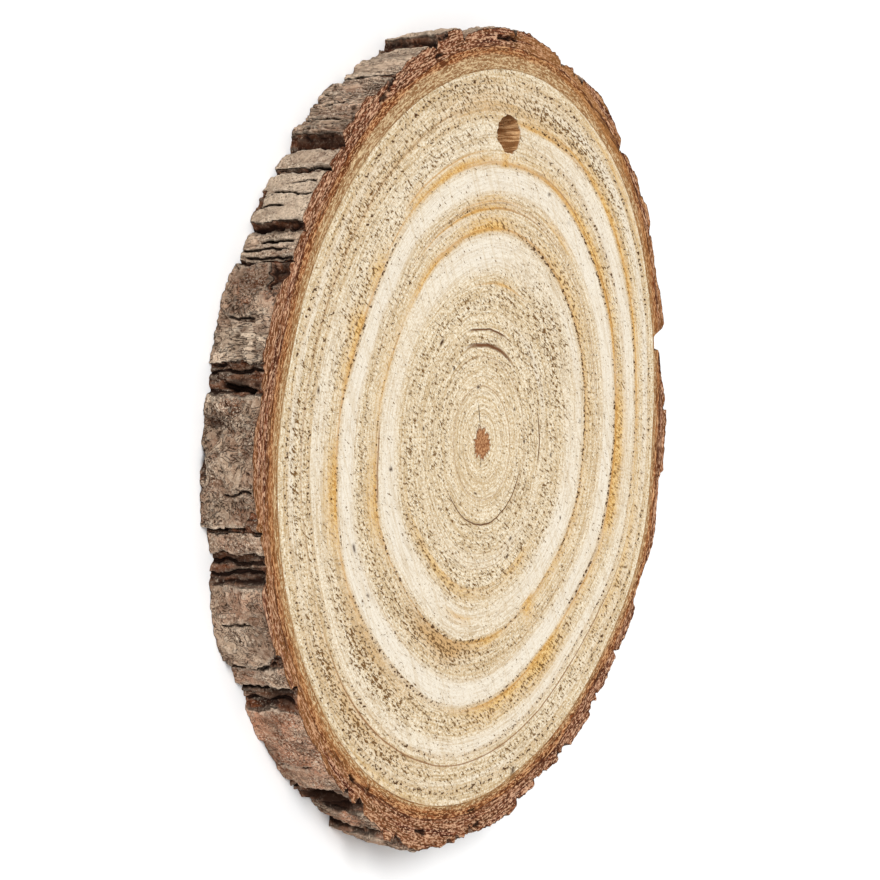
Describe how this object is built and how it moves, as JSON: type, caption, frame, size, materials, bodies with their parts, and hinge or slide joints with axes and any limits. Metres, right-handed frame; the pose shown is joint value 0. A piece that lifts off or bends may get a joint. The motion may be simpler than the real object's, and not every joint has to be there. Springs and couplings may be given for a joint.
{
  "type": "wood slice",
  "caption": "Thin round slice sawn across a trunk, with growth rings, flaky bark round the rim and a drilled hanging hole near the edge.",
  "frame": {"origin": "the pith, at the centre of the growth rings, on the back cut face that the slice lies on", "axes": "+Z out of the front cut face, through the thickness; +Y from the pith towards the hanging hole's side of the rim; +X across the face"},
  "size_m": [0.1227, 0.1204, 0.009],
  "materials": {
    "sawn_wood": "raw, rough sawn across the grain",
    "bark": "raw, flaky, dry and matt"
  },
  "bodies": {
    "root": {"wood_slice": "sawn_wood"}
  },
  "joints": []
}
